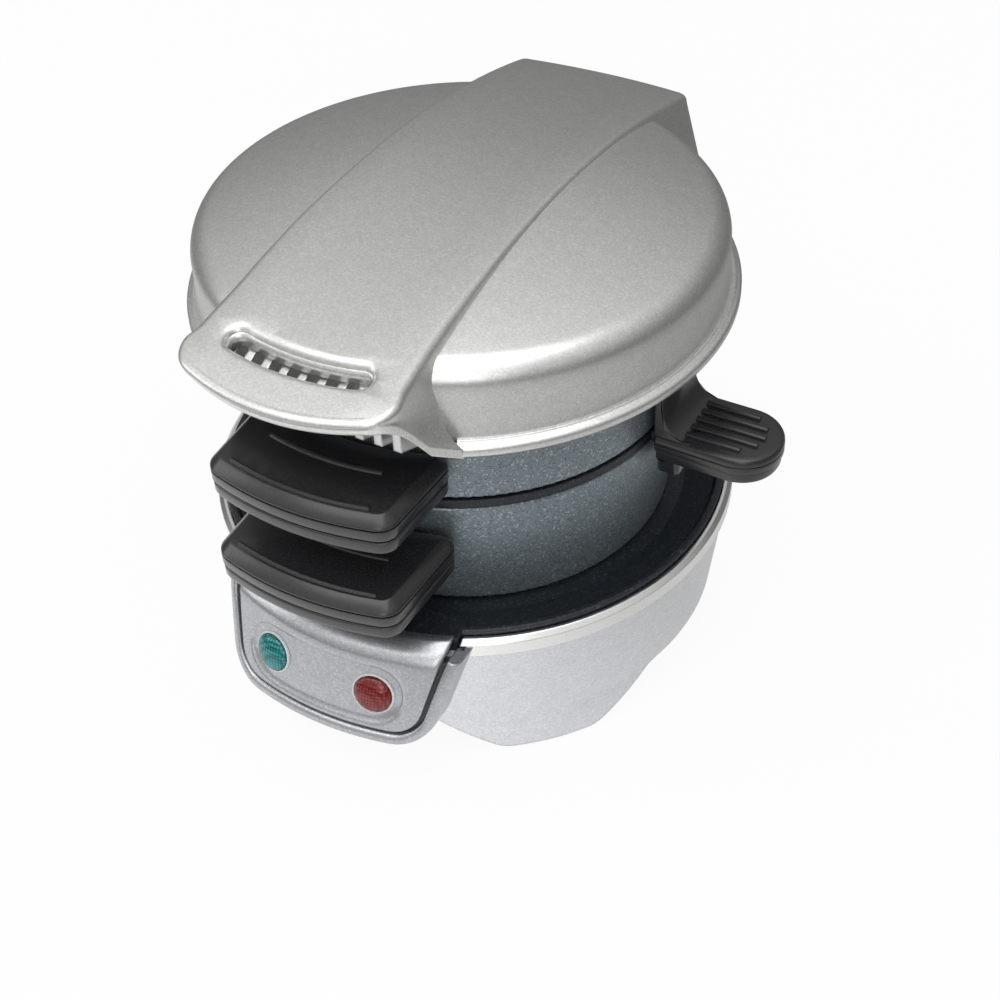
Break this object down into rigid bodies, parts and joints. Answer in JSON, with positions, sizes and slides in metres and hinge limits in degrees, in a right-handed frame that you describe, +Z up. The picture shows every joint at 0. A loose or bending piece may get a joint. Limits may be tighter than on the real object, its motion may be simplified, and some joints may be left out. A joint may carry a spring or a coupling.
{
  "type": "breakfast sandwich maker",
  "caption": "Countertop breakfast sandwich maker: round heated base with lamp panel, stacked hinged rings with a swinging cooking plate, and a heated lid with handle.",
  "frame": {"origin": "middle of the bounding box, on the table", "axes": "+X towards the side handle, +Y towards the hinge at the back, +Z up"},
  "size_m": [0.1544, 0.1658, 0.1294],
  "materials": {
    "silver_plastic": "satin silver",
    "bright_rim": "bright satin",
    "black_plastic": "semi-matt black",
    "rubber": "matt",
    "steel": "plain steel",
    "coated_plate": "dark non-stick coating",
    "coated_ring": "grey non-stick coating",
    "green_lens": "clear green lens",
    "red_lens": "clear red lens",
    "lamp_glass": "clear",
    "white_plastic": "matt"
  },
  "bodies": {
    "base": {"base_housing": "silver_plastic", "base_feet": "rubber", "bottom_cover": "black_plastic", "bottom_screws": "steel", "base_rim": "bright_rim", "control_panel": "silver_plastic", "panel_bezel": "black_plastic", "preheat_lens": "green_lens", "power_lens": "red_lens", "lamp_holder": "black_plastic", "indicator_lamps": "lamp_glass", "lower_heating_plate": "coated_plate", "lower_heating_element": "steel", "plate_screws": "steel", "thermostat": "steel", "thermal_fuse": "steel", "fuse_clip": "steel", "terminal_block": "white_plastic", "cord_gland": "black_plastic", "hinge_post": "black_plastic", "post_screws": "steel", "hinge_pin": "steel", "pin_clips": "steel"},
    "lower_ring_assembly": {"lower_ring": "coated_ring", "lower_handle_top": "black_plastic", "lower_handle_bottom": "black_plastic", "lower_handle_screws": "steel"},
    "upper_ring_assembly": {"upper_ring": "coated_ring", "upper_handle_top": "black_plastic", "upper_handle_bottom": "black_plastic", "upper_handle_screws": "steel", "plate_pivot_screw": "steel"},
    "cooking_plate_assembly": {"cooking_plate": "coated_plate", "plate_handle_top": "black_plastic", "plate_handle_bottom": "black_plastic", "plate_handle_screws": "steel"},
    "cover": {"cover_frame": "silver_plastic", "cover_panel_left": "silver_plastic", "cover_panel_right": "silver_plastic", "cover_liner": "black_plastic", "liner_screws": "steel", "upper_heating_plate": "coated_plate", "upper_heating_element": "steel", "heat_shield": "steel", "upper_plate_screws": "steel", "cover_hinge": "steel", "cover_hinge_screws": "steel"}
  },
  "joints": [
    {"name": "lower_ring_hinge", "type": "hinge", "parent": "base", "child": "lower_ring_assembly", "pos_m": [-0.00805, 0.07735, 0.07], "axis": [-1, 0, 0], "range_deg": [0, 35]},
    {"name": "upper_ring_hinge", "type": "hinge", "parent": "lower_ring_assembly", "child": "upper_ring_assembly", "pos_m": [-0.00805, 0.07735, 0.07], "axis": [-1, 0, 0], "range_deg": [0, 40]},
    {"name": "cover_hinge", "type": "hinge", "parent": "upper_ring_assembly", "child": "cover", "pos_m": [-0.00805, 0.07735, 0.07], "axis": [-1, 0, 0], "range_deg": [0, 90]},
    {"name": "cooking_plate_pivot", "type": "hinge", "parent": "upper_ring_assembly", "child": "cooking_plate_assembly", "pos_m": [0.02454, 0.05251, 0.0757], "axis": [0, 0, 1], "range_deg": [0, 120]}
  ]
}
